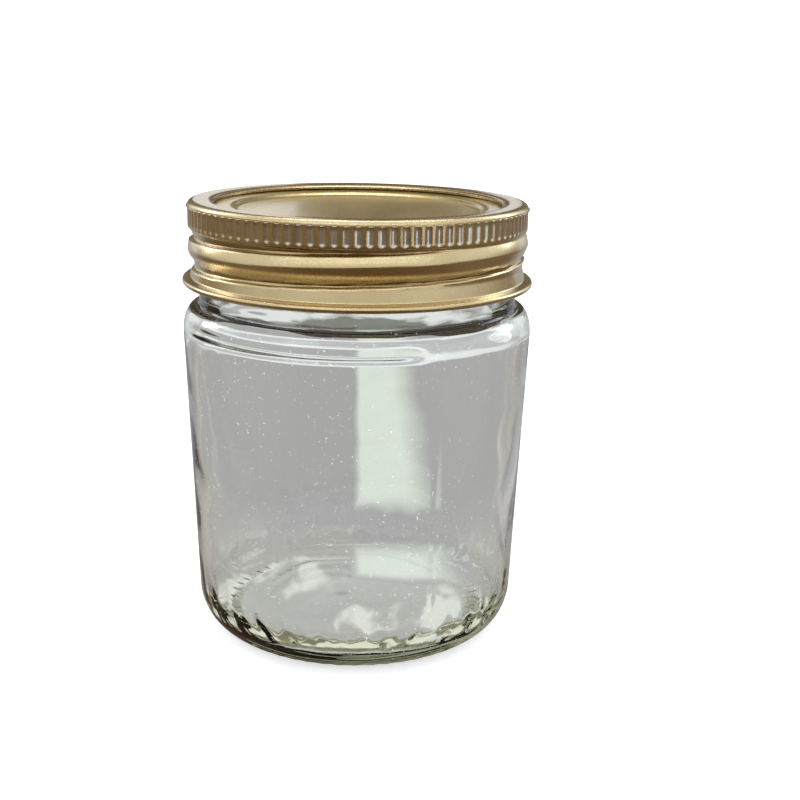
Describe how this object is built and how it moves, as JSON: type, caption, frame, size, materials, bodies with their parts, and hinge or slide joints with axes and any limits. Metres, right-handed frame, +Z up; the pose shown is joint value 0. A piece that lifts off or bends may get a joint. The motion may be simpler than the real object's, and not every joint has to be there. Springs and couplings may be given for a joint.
{
  "type": "mason jar",
  "caption": "Small clear glass canning jar with a screw thread, closed by a loose gold lid disc and an open knurled screw band.",
  "frame": {"origin": "centre of the flat ring that the jar stands on", "axes": "+Z up along the jar's axis, towards the lid; +X to the right and +Y to the back, with the jar seen from the front"},
  "size_m": [0.0764, 0.0764, 0.0959],
  "materials": {
    "glass": "clear, polished, faint green in the thick base",
    "band_lacquer": "satin gold lacquer on tinplate",
    "disc_lacquer": "satin gold lacquer with fine speckle",
    "seal_compound": "matte"
  },
  "bodies": {
    "jar": {"glass_jar": "glass"},
    "lid": {"lid_disc": "disc_lacquer", "sealing_ring": "seal_compound"},
    "band": {"screw_band": "band_lacquer"}
  },
  "joints": [
    {"name": "lid_lift", "type": "slide", "parent": "jar", "child": "lid", "axis": [0, 0, 1], "range_m": [0, 0.0255]},
    {"name": "band_turn", "type": "hinge", "parent": "lid", "child": "band", "pos_m": [0, 0, 0.0866], "axis": [0, 0, 1], "range_deg": [0, 1440]}
  ],
  "couplings": [
    {"joint": "lid_lift", "follows": "band_turn", "m_per_rad": 0.0010106}
  ]
}
